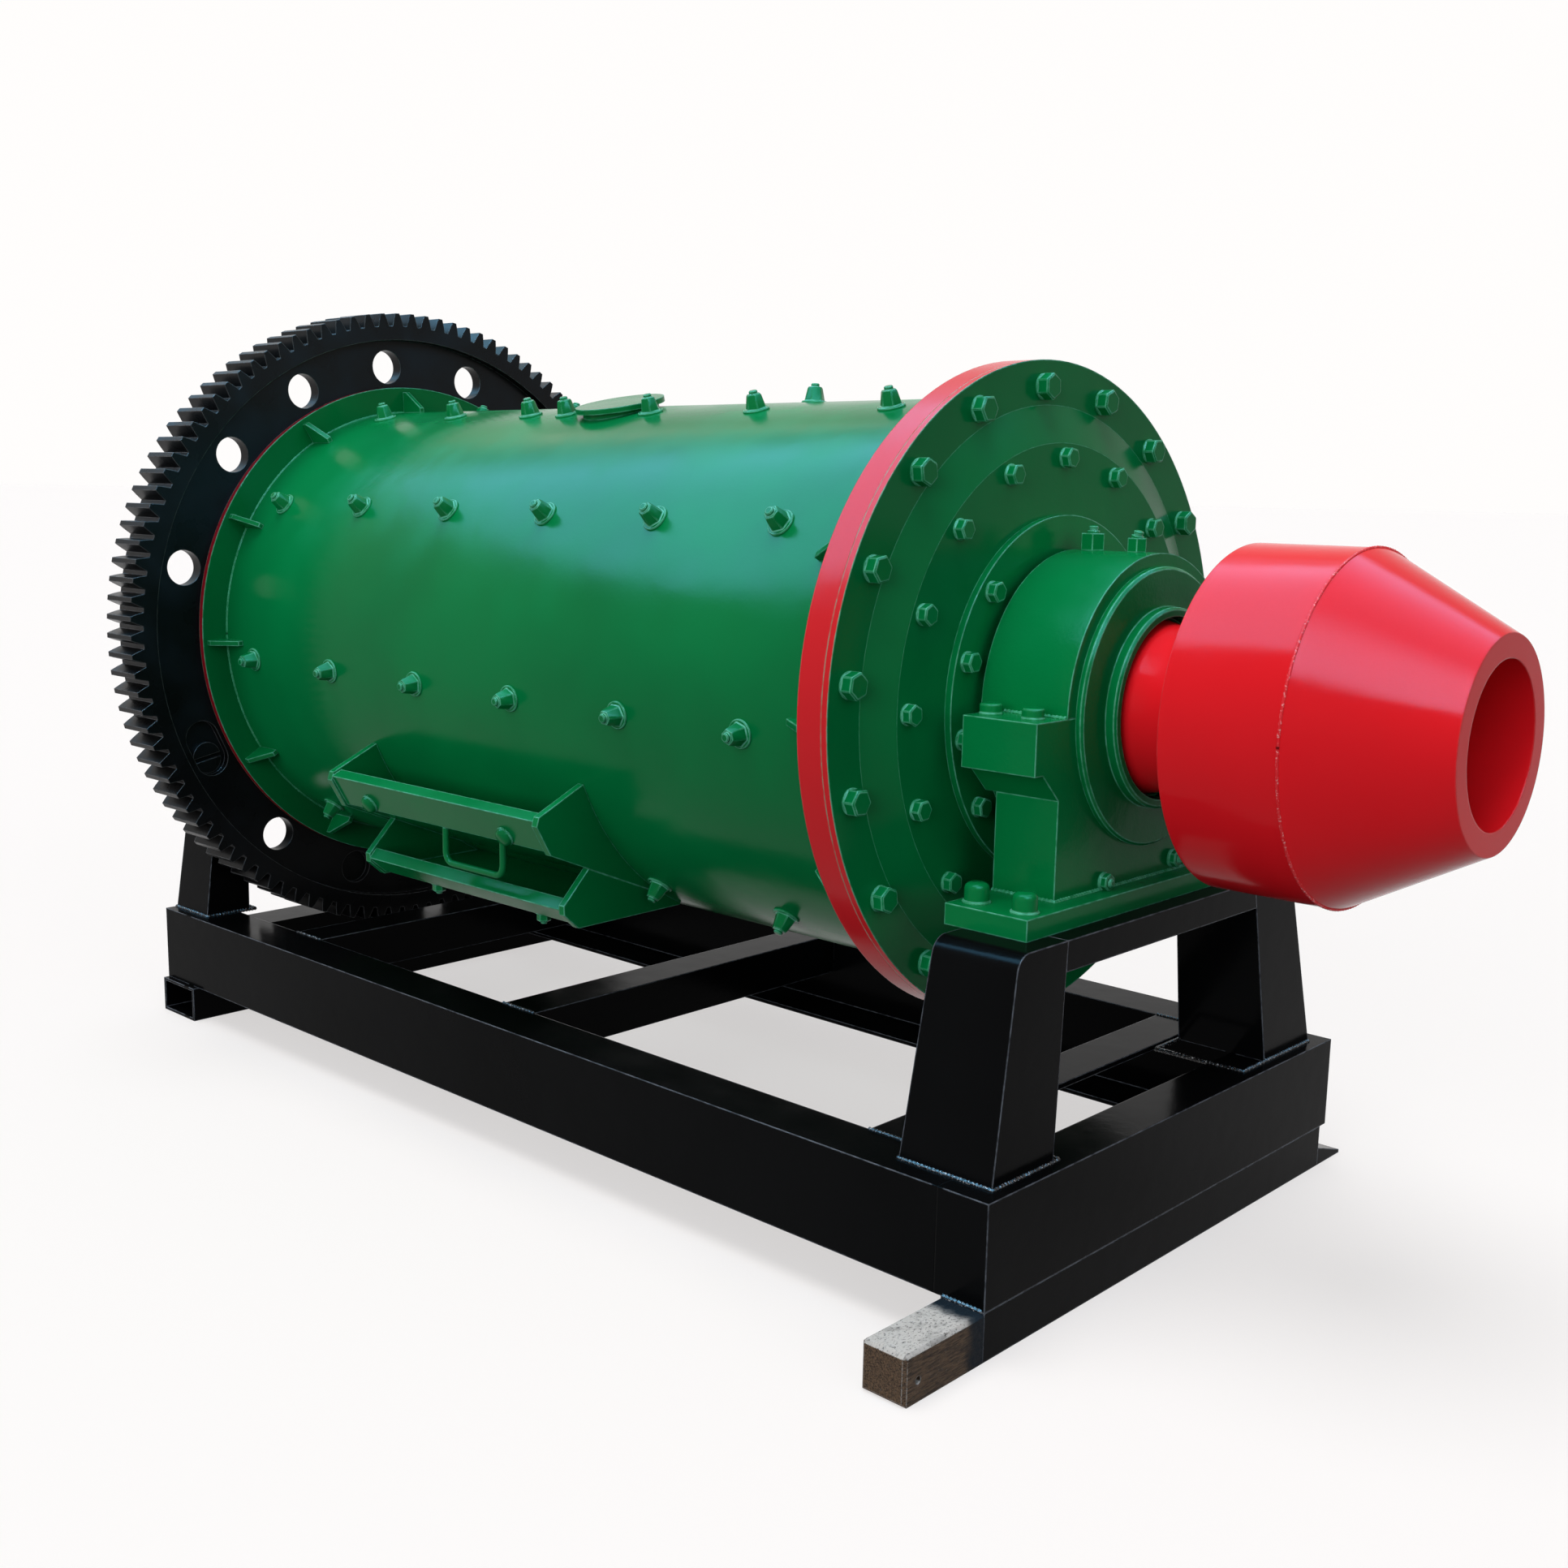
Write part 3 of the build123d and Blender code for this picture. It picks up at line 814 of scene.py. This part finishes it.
@dataclass
class LinerBolts:
    """Rows of bolts that hold the wear plates inside the barrel."""

    mill: Mill
    cone: Bolt = Bolt(0.0195, 0.025, 0.0235, washer_height=0.005, taper=0.72,
                      stud=0.0075, stud_height=0.006)
    sunk: float = 0.0015
    even: tuple = (-0.960, -0.681, -0.402, -0.123, 0.156, 0.435)
    top: tuple = (-0.969, -0.719, -0.476, -0.366, -0.131, 0.136, 0.436)
    behind: tuple = (-0.960, -0.640)
    peeking: tuple = (0.135,)
    low: tuple = (-0.960, 0.069, 0.373)
    under: tuple = (-0.960, -0.700, -0.470, -0.239, 0.009, 0.373)
    # Angle of each row and its stations; the low row leaves room for the hatch
    rows: tuple = ((73.5, top), (92.0, peeking), (104.0, behind), (34.7, even), (-5.7, even),
                   (-52.0, low), (-96.0, under), (130.0, even), (172.0, even), (214.0, even))

    def build(self, materials: dict) -> None:
        """Bolt the barrel row by row.

        Args:
            materials: finishes by name.
        """
        sculptor = Sculptor("liner_bolts")
        for angle, stations in self.rows:
            for x in stations:
                point = self.mill.round_axis(x, self.mill.barrel - self.sunk, angle)
                self.cone.add(sculptor, standing(point, self.mill.outward(angle), free_turn()))
        sculptor.piece(Body.DRUM, materials["green"])


@dataclass
class SlotScrew:
    """Flat screw with a straight groove, seated at the low end of the gear web's blind slot."""

    mill: Mill
    angle: float = -26.9
    circle: float = 0.577
    seat_depth: float = 0.014
    radius: float = 0.031
    height: float = 0.008
    groove: float = 0.0045
    groove_angle: float = 12.0
    corner_angle: float = 4.0
    steps: int = 16
    sunk: float = 0.0005

    def build(self, materials: dict) -> None:
        """Add the screw as two half discs with the groove between them.

        Args:
            materials: finishes by name.
        """
        sculptor = Sculptor("slot_screw")
        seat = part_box("ring_gear_web")[1].x - self.seat_depth
        centre = self.mill.round_axis(seat, self.circle, self.angle)
        place = standing(centre, Vector((1, 0, 0)), self.groove_angle)
        sweep = 180 - 2 * self.corner_angle
        for side, shift in ((0, self.groove / 2), (180, -self.groove / 2)):
            angles = [radians(side + self.corner_angle + sweep * i / self.steps)
                      for i in range(self.steps + 1)]
            ring = [(self.radius * cos(a), self.radius * sin(a) + shift) for a in angles]
            sculptor.loft([[(x, y, z) for x, y in ring] for z in (-self.sunk, self.height)], place)
        sculptor.piece(Body.DRUM, materials["gear"])


@dataclass
class BearingFittings:
    """Bolts, nuts and grease nipples on both bearings."""

    mill: Mill
    lug_bolt: RoundHead = RoundHead(0.0165, 0.016, 0.003, 0.0175)
    foot_nut: RoundHead = RoundHead(0.0185, 0.030, 0.009, 0.0215)
    face_nut: Bolt = Bolt(0.0140, 0.011, 0.0150, stud=0.006, stud_height=0.004)
    lug_reach: float = 0.310
    lug_inset: float = 0.040
    lug_bolt_setbacks: tuple = (0.035, 0.110)
    foot_inset: float = 0.036
    foot_nut_insets: tuple = (0.030, 0.115)
    plate_thickness: float = 0.032
    face_nut_spots: tuple = ((-0.119, 0.044), (0.080, 0.052))
    lug_setback: tuple = (("front", 0.0), ("rear", 0.012))
    # Shift along X, drop below the higher plug and lean of the nipple on each grease plug
    plugs: tuple = ((-0.046, 0.0, 0.0), (0.033, 0.005, 0.25))
    nipple_radius: float = 0.0075
    nipple_height: float = 0.012
    # Shares of the nipple's radius and height from its foot to its top
    nipple_shape: tuple = ((1.3, 0.3), (0.8, 0.45), (1.0, 0.6), (1.0, 0.85), (0.5, 1.0))
    waist_half_width: float = 0.248
    waist_depth: float = 0.110
    cap_radius: float = 0.234
    joint_setback: float = 0.002
    bead_radius: float = 0.004

    def build(self, materials: dict) -> None:
        """Dress the front and the rear bearing.

        Args:
            materials: finishes by name.
        """
        for end, way in (("front", 1), ("rear", -1)):
            self.bolt(end, way, materials["cast"])
            self.weld(end, way, materials["green_bead"])

    def lug_face(self, end: str, way: int) -> float:
        """Station of the outward faces of the lugs and the waist."""
        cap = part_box(f"{end}_bearing_cap")
        return (cap[1] if way > 0 else cap[0]).x - way * dict(self.lug_setback)[end]

    def bolt(self, end: str, way: int, material: bpy.types.Material) -> None:
        """Bolts, nuts and grease nipples of one bearing.

        Args:
            end: front or rear.
            way: side along X that its seal looks to.
            material: finish of its fittings.
        """
        up = Vector((0, 0, 1))
        low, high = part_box(f"{end}_bearing_housing")
        face = self.lug_face(end, way)
        plate_face = (high if way > 0 else low).x
        plate_top = low.z + self.plate_thickness
        lug_y, foot_y = self.lug_reach - self.lug_inset, -low.y - self.foot_inset
        sculptor = Sculptor(f"{end}_bearing_bolts")
        for side in (-1, 1):
            for setback in self.lug_bolt_setbacks:
                point = Vector((face - way * setback, side * lug_y, self.mill.axis))
                self.lug_bolt.add(sculptor, standing(point, up))
            for inset in self.foot_nut_insets:
                point = Vector((plate_face - way * inset, side * foot_y, plate_top))
                self.foot_nut.add(sculptor, standing(point, up))
        for y, height in self.face_nut_spots:
            point = Vector((face, y, low.z + height))
            self.face_nut.add(sculptor, standing(point, Vector((way, 0, 0)), free_turn()))
        self.nipples(sculptor, end, way)
        sculptor.piece(Body.BASE, material)

    def nipples(self, sculptor: Sculptor, end: str, way: int) -> None:
        """Small nipple on each grease plug."""
        cap_low, cap_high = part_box(f"{end}_bearing_cap")
        middle = (cap_low.x + cap_high.x) / 2
        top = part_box(f"{end}_bearing_grease_plugs")[1].z
        profile = [(self.nipple_radius * wide, self.nipple_height * high)
                   for wide, high in self.nipple_shape]
        profile.insert(0, (profile[0][0], -SUNK))
        for shift, drop, lean in self.plugs:
            point = Vector((middle + way * shift, 0, top - drop))
            sculptor.lathe(profile, standing(point, Vector((way * lean, 0, 1))), sides=16)

    def weld(self, end: str, way: int, material: bpy.types.Material) -> None:
        """Beads at the foot of the waist and along the joint of cap and lugs.

        Args:
            end: front or rear.
            way: side along X that its seal looks to.
            material: finish of the beads.
        """
        sculptor = Sculptor(f"{end}_bearing_beads")
        face = self.lug_face(end, way)
        back = face - way * self.waist_depth
        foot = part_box(f"{end}_bearing_housing")[0].z + self.plate_thickness
        half = self.waist_half_width
        corners = ((back, -half), (face, -half), (face, half), (back, half))
        sculptor.bead([Vector((x, y, foot)) for x, y in corners], self.bead_radius, False)
        for side in (-1, 1):
            stations = (back, face - way * self.joint_setback)
            joint = [Vector((x, side * self.cap_radius, self.mill.axis)) for x in stations]
            sculptor.bead(joint, self.bead_radius, False)
        sculptor.piece(Body.BASE, material)


@dataclass
class HatchFittings:
    """Buttons, bolts and nuts of the loading hatch."""

    mill: Mill
    button: RoundHead = RoundHead(0.018, 0.013, 0.011, 0.019)
    inner: Bolt = Bolt(0.014, 0.014, 0.015)
    under: Bolt = Bolt(0.013, 0.014, 0.016, stud=0.006, stud_height=0.005)
    upper_lip: tuple = (0.113, -23.6)
    upper_fold: tuple = (0.110, -30.1)
    upper_heel: tuple = (0.0, -56.0)
    lower_fold: tuple = (0.144, -43.8)
    lower_heel: tuple = (0.0, -64.0)
    wall: float = 0.008
    button_share: float = 0.25
    inner_share: float = 0.12
    under_share: float = 0.92
    button_setbacks: tuple = (0.104, 0.510)
    inner_setbacks: tuple = (0.130, 0.507)
    under_setbacks: tuple = (0.197, 0.507)

    def corner(self, place: tuple) -> Vector:
        """Corner of a tray's section from its height over the barrel and its angle."""
        height, angle = place
        return self.mill.round_axis(0, self.mill.barrel + height, angle)

    def row(self, sculptor: Sculptor, kind: Bolt | RoundHead, a: Vector, b: Vector, share: float,
            lift: float, setbacks: tuple) -> None:
        """Fittings along X on the flat between two corners.

        Args:
            sculptor: mesh that collects them.
            kind: the fitting.
            a: first corner; the fittings look to the left of the way from a to b.
            b: second corner.
            share: place between a and b.
            lift: distance of the seat from the flat.
            setbacks: distances from the left end of the upper tray.
        """
        way = Vector((0, -(b.z - a.z), b.y - a.y)).normalized()
        spot = a.lerp(b, share) + way * lift
        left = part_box("hatch_upper_tray")[0].x
        for setback in setbacks:
            spot.x = left + setback
            kind.add(sculptor, standing(spot, way, free_turn()))

    def build(self, materials: dict) -> None:
        """Add the fittings.

        Args:
            materials: finishes by name.
        """
        sculptor = Sculptor("hatch_fittings")
        section = (self.upper_lip, self.upper_fold, self.upper_heel)
        lip, fold, heel = (self.corner(place) for place in section)
        self.row(sculptor, self.button, fold, lip, self.button_share, 0.0, self.button_setbacks)
        self.row(sculptor, self.inner, fold, heel, self.inner_share, self.wall, self.inner_setbacks)
        fold, heel = self.corner(self.lower_fold), self.corner(self.lower_heel)
        self.row(sculptor, self.under, heel, fold, self.under_share, 0.0, self.under_setbacks)
        sculptor.piece(Body.DRUM, materials["green"])


@dataclass
class WeldBeads:
    """Beads where the base, the barrel and the nozzle are welded."""

    mill: Mill
    leg_radius: float = 0.004
    block_radius: float = 0.0045
    block_inset: float = 0.004
    member_radius: float = 0.003
    flange_radius: float = 0.003
    flange_pitch: float = 0.009
    cone_length: float = 0.192
    cone_radius: float = 0.0022
    cone_pitch: float = 0.008
    circle_step: int = 3

    def leg_foot(self, node: str, sculptor: Sculptor) -> None:
        """Bead round the foot of a leg."""
        low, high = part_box(node)
        corners = ((low.x, low.y), (high.x, low.y), (high.x, high.y), (low.x, high.y))
        sculptor.bead([Vector((x, y, low.z)) for x, y in corners], self.leg_radius, True)

    def circle(self, x: float, radius: float) -> list[Vector]:
        """Points of a circle round the drum's axis at a station."""
        return [self.mill.round_axis(x, radius, a) for a in range(0, 360, self.circle_step)]

    def base(self, sculptor: Sculptor) -> None:
        """Beads of the legs, the skid block and the cross members."""
        for end in ("front", "rear"):
            for side in ("near", "far"):
                self.leg_foot(f"{end}_stand_{side}_leg", sculptor)
        low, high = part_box("front_skid_block")
        ends = (low.x + self.block_inset, high.x - self.block_inset)
        sculptor.bead([Vector((x, high.y, high.z)) for x in ends], self.block_radius, False)
        for node in ("front_cross_member", "middle_cross_member", "rear_cross_member"):
            low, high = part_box(node)
            for y in (low.y, high.y):
                joint = [Vector((x, y, high.z)) for x in (low.x, high.x)]
                sculptor.bead(joint, self.member_radius, False)

    def build(self, materials: dict) -> None:
        """Lay the beads.

        Args:
            materials: finishes by name.
        """
        sculptor = Sculptor("base_weld_beads")
        self.base(sculptor)
        sculptor.piece(Body.BASE, materials["bead"])

        sculptor = Sculptor("drum_weld_beads")
        for x in (self.mill.rear_flange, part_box("front_shell_flange")[0].x):
            circle = self.circle(x, self.mill.barrel)
            sculptor.bead(circle, self.flange_radius, True, self.flange_pitch)
        sculptor.piece(Body.DRUM, materials["green_bead"])

        sculptor = Sculptor("nozzle_weld_bead")
        low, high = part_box("feed_nozzle")
        circle = self.circle(high.x - self.cone_length, (high.y - low.y) / 2)
        sculptor.bead(circle, self.cone_radius, True, self.cone_pitch)
        sculptor.piece(Body.DRUM, materials["red_bead"])


# Studio

@dataclass
class Studio:
    """Pale floor, white surround, soft lamps and the photograph's camera."""

    lens: float = 39.45
    place: tuple = (2.229, -2.306, 1.174)
    azimuth: float = 42.80
    elevation: float = 9.75
    roll: float = 1.09
    sensor_width: float = 36.0
    view_distance: float = 200.0
    floor_size: float = 400.0
    floor_light: tuple = (0.60, 0.585, 0.58)
    floor_colour: tuple = (0.38, 0.37, 0.365)
    floor_bounce: tuple = (0.13, 0.13, 0.13)
    white: tuple = (1.0, 0.985, 0.975)
    ambient: tuple = (0.26, 0.28, 0.30)
    # Name, direction that it shines from, brightness and width in degrees of each sun
    suns: tuple = (("key_sun", (-0.1, -0.12, 0.97), 0.62, 40.0),
                   ("near_sun", (0.1, -0.97, 0.2), 0.50, 50.0),
                   ("end_sun", (0.97, -0.1, 0.25), 0.15, 50.0))
    sky_corners: tuple = ((-5.3, -5.05), (-0.9, -2.5), (1.4, -2.5), (4.6, -4.6), (6.5, -2.2),
                          (3.0, 4.0), (-4.4, 1.5))
    sky_height: float = 4.0
    sky_strength: float = 36.0
    sky_near: tuple = (0.18, 0.50, 0.79)
    sky_mid: tuple = (0.088, 0.24, 0.375)
    sky_far: tuple = (0.025, 0.05, 0.06)
    sky_warm: tuple = (0.09, 0.078, 0.072)
    sky_front: tuple = (0.28, 0.75, 1.2)
    sky_right: tuple = (0.08, 0.20, 0.33)
    # Way across the sky panel, and the stretches of it over which the colours blend
    sky_fall: tuple = (-0.5, 0.86, 0.0)
    mid_span: tuple = (-1.7, 1.0)
    far_span: tuple = (1.5, 2.3)
    warm_span: tuple = (2.6, 3.2)
    front_span: tuple = (-3.0, -1.2)
    right_span: tuple = (0.4, 1.6)

    def floor(self) -> None:
        """Pale floor that keeps the shadow."""
        graph = Surface("pale_floor")
        share = graph.white_share()
        colour = graph.blend(share, self.floor_bounce, self.floor_colour)
        glow = graph.blend(share, (0.0, 0.0, 0.0), self.floor_light)
        material = graph.finish(Base_Color=colour, Emission_Color=glow, Emission_Strength=1.0,
                                Roughness=1.0, Specular_IOR_Level=0.0)
        h = self.floor_size / 2
        self.sheet("floor", [(-h, -h, 0), (h, -h, 0), (h, h, 0), (-h, h, 0)], material)

    def sheet(self, name: str, points: list, material: bpy.types.Material) -> bpy.types.Object:
        """Flat sheet of the stage.

        Args:
            name: its name.
            points: its corners in order.
            material: its material.

        Returns:
            The object.
        """
        data = bpy.data.meshes.new(name)
        data.from_pydata(points, [], [tuple(range(len(points)))])
        data.materials.append(material)
        obj = bpy.data.objects.new(name, data)
        bpy.context.scene.collection.objects.link(obj)
        return obj

    def surround(self) -> None:
        """White world for the camera and reflections, dimmer for light on the mill."""
        world = bpy.data.worlds.new("surround")
        bpy.context.scene.world = world
        world.use_nodes = True
        graph = Graph(world.node_tree)
        colour = graph.blend(graph.white_share(), self.ambient, self.white)
        background = graph.node("ShaderNodeBackground", {}, {"Color": colour})
        graph.feed(graph.tree.nodes.new("ShaderNodeOutputWorld").inputs["Surface"], background)

    def sun(self, name: str, source: tuple, share: float, spread: float) -> None:
        """Wide soft sun that lights matt surfaces only.

        Args:
            name: its name.
            source: direction that it shines from.
            share: brightness of a white surface that faces it.
            spread: width of its disc in degrees.
        """
        light = bpy.data.lights.new(name, "SUN")
        light.energy = share * pi
        light.angle = radians(spread)
        obj = bpy.data.objects.new(name, light)
        obj.rotation_euler = (-Vector(source)).to_track_quat("-Z", "Y").to_euler()
        obj.visible_glossy = False
        bpy.context.scene.collection.objects.link(obj)

    def sky(self) -> None:
        """Blue panel overhead, grey at its far side, seen only in mirrored light."""
        graph = Surface("sky_panel")
        place = graph.position()
        across = graph.dot(place, self.sky_fall)
        glow = graph.blend(across.ramp(*self.mid_span), self.sky_near, self.sky_mid)
        right = graph.blend(across.ramp(*self.front_span), self.sky_front, self.sky_right)
        glow = graph.blend(graph.axis(place, "X").ramp(*self.right_span), glow, right)
        glow = graph.blend(across.ramp(*self.far_span), glow, self.sky_far)
        glow = graph.blend(across.ramp(*self.warm_span), glow, self.sky_warm)
        material = graph.finish(Base_Color=(0, 0, 0, 1), Emission_Color=glow,
                                Emission_Strength=self.sky_strength, Specular_IOR_Level=0.0)
        points = [(x, y, self.sky_height) for x, y in self.sky_corners]
        obj = self.sheet("sky_panel", points, material)
        obj.visible_camera = obj.visible_diffuse = obj.visible_shadow = False
        obj.visible_transmission = False

    def camera(self) -> None:
        """Camera at the photograph's view."""
        az, el, roll = (radians(a) for a in (self.azimuth, self.elevation, self.roll))
        back = Vector((sin(az) * cos(el), -cos(az) * cos(el), sin(el)))
        right = Vector((cos(az), sin(az), 0))
        up = back.cross(right)
        turned_right = right * cos(roll) + up * sin(roll)
        turned_up = up * cos(roll) - right * sin(roll)
        data = bpy.data.cameras.new("photo_camera")
        data.lens = self.lens
        data.sensor_width = self.sensor_width
        data.clip_end = self.view_distance
        obj = bpy.data.objects.new("photo_camera", data)
        matrix = Matrix((turned_right, turned_up, back)).transposed().to_4x4()
        matrix.translation = Vector(self.place)
        obj.matrix_world = matrix
        bpy.context.scene.collection.objects.link(obj)
        bpy.context.scene.camera = obj

    def build(self) -> None:
        """Set up the whole studio."""
        self.floor()
        self.surround()
        for sun in self.suns:
            self.sun(*sun)
        self.sky()
        self.camera()
        bpy.context.scene.view_settings.view_transform = "Standard"


FINISH_OF_NODE = {
    "front_head": "rim", "rear_shell_flange": "rear_rim", "front_shell_flange": "flange_rim",
    "feed_neck": "red", "feed_nozzle": "red", "discharge_neck": "red",
    "ring_gear": "gear", "ring_gear_web": "gear", "front_skid_block": "bar",
}
FINISH_OF_SLOT = {Slot.GREEN: "green", Slot.BLACK: "black", Slot.RED: "red", Slot.BLOCK: "bar"}


def finish_of(name: str, slot: Slot) -> str:
    """Finish of a node: from its name where that decides it, else from its slot."""
    if "bearing" in name:
        return "cast"
    return FINISH_OF_NODE.get(name) or FINISH_OF_SLOT[slot]


def dress_nodes(frame: dict, materials: dict) -> None:
    """Give every node of the frame its finish.

    Args:
        frame: the loaded frame.
        materials: finishes by name.
    """
    slots = {part["node"]: part["material_slot"] for part in frame["record"]["subparts"]}
    for name, obj in frame["nodes"].items():
        obj.data.materials.clear()
        obj.data.materials.append(materials[finish_of(name, Slot(slots[name]))])
    log.info("%d nodes dressed", len(frame["nodes"]))


with open("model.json") as file:
    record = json.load(file)
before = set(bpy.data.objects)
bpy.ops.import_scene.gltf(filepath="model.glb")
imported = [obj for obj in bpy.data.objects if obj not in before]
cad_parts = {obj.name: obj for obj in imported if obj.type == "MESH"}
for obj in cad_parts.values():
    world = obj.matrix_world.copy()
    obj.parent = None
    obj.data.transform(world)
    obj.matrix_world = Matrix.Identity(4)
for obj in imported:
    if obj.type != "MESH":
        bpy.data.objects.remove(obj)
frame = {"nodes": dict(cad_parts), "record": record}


def main() -> None:
    """Build the mill's dressing in order."""
    logging.basicConfig(level=logging.INFO, format="%(message)s")
    random.seed(RANDOM_SEED)
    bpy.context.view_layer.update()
    materials = Palette().build()
    dress_nodes(frame, materials)
    mill = Mill.read()
    for assembly in (HeadBolts(mill), LinerBolts(mill), SlotScrew(mill), BearingFittings(mill),
                     HatchFittings(mill), WeldBeads(mill)):
        assembly.build(materials)
    Studio().build()


if __name__ == "__main__":
    main()
